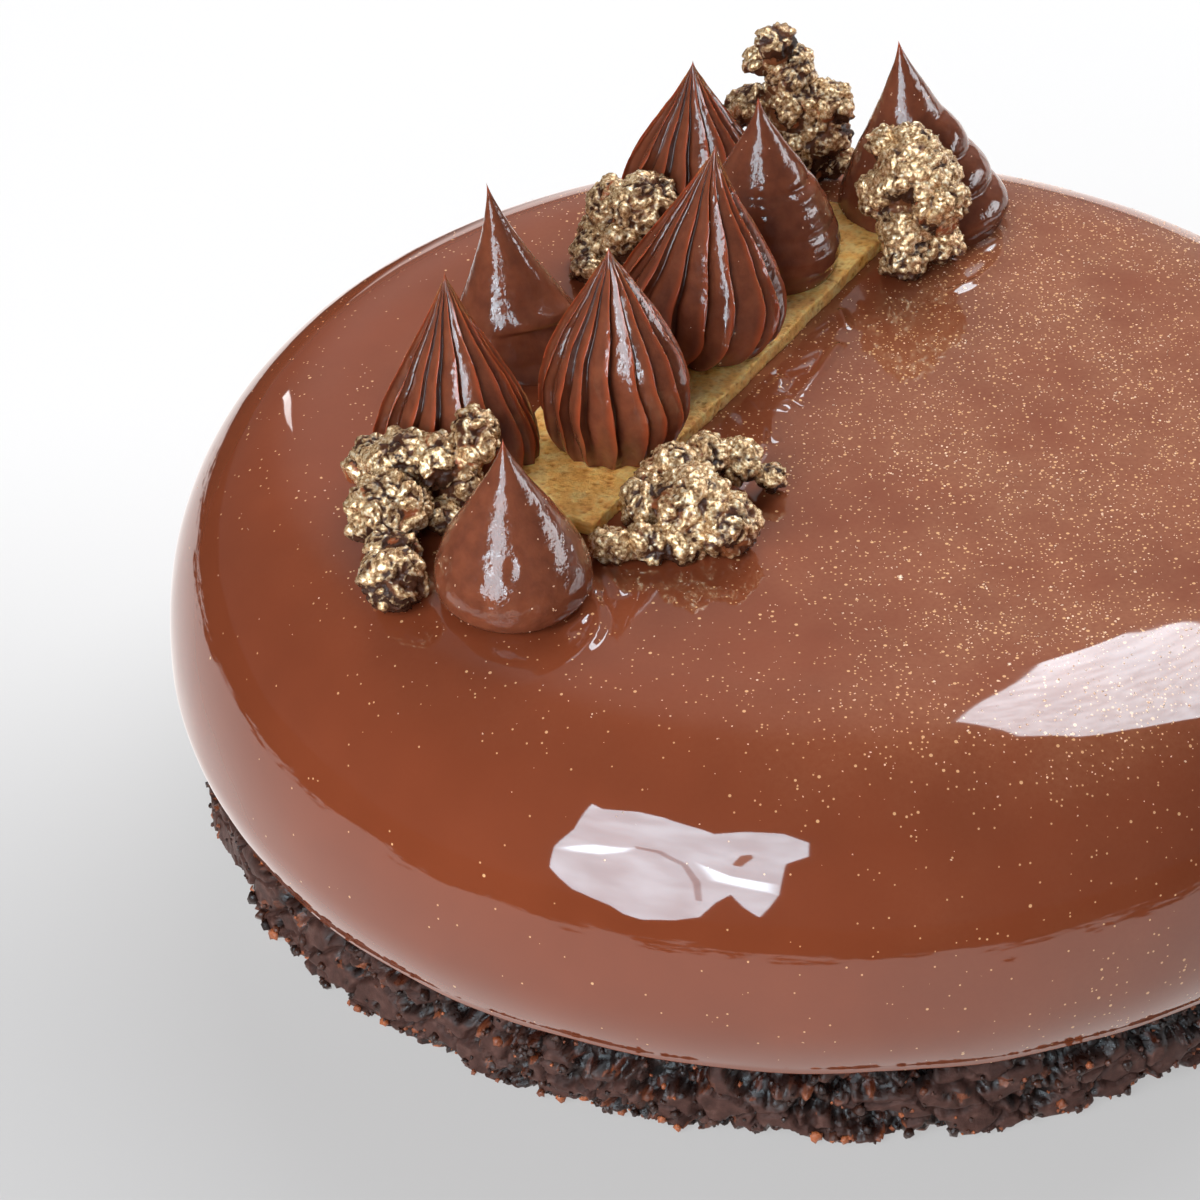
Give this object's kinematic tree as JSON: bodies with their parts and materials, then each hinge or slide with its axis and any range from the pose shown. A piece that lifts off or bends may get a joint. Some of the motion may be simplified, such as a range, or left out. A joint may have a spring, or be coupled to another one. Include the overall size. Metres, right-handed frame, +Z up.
{
  "type": "hazelnut mousse cake",
  "caption": "Round mirror-glazed mousse cake on a dark crumb base, topped on one side with piped chocolate kisses, a biscuit strip and gilded crumble.",
  "frame": {"origin": "middle of the flat underside, on the surface the cake stands on", "axes": "+Z up; -Y towards the side with the lone smooth kiss at the front of the toppings; +X towards the bare right half of the top"},
  "size_m": [0.18, 0.18, 0.0855],
  "materials": {
    "base_crumb": "pressed dark cocoa crumb, rough",
    "glaze": "milk chocolate mirror glaze, wet gloss, fine gold shimmer",
    "biscuit": "baked thin sponge, matt and porous",
    "piped_cream": "piped chocolate ganache, soft gloss",
    "crumble": "cocoa crumble dusted with edible gold"
  },
  "bodies": {
    "root": {"crunch_base": "base_crumb", "glazed_mousse": "glaze", "biscuit_strip": "biscuit", "kiss_front_smooth": "piped_cream", "kiss_left_ridged": "piped_cream", "kiss_back_left_smooth": "piped_cream", "kiss_middle_ridged": "piped_cream", "kiss_right_ridged": "piped_cream", "kiss_back_ridged": "piped_cream", "kiss_right_smooth": "piped_cream", "kiss_far_smooth": "piped_cream", "crumble_left": "crumble", "crumble_right_front": "crumble", "crumble_middle_left": "crumble", "crumble_back": "crumble", "crumble_right": "crumble"}
  },
  "joints": []
}
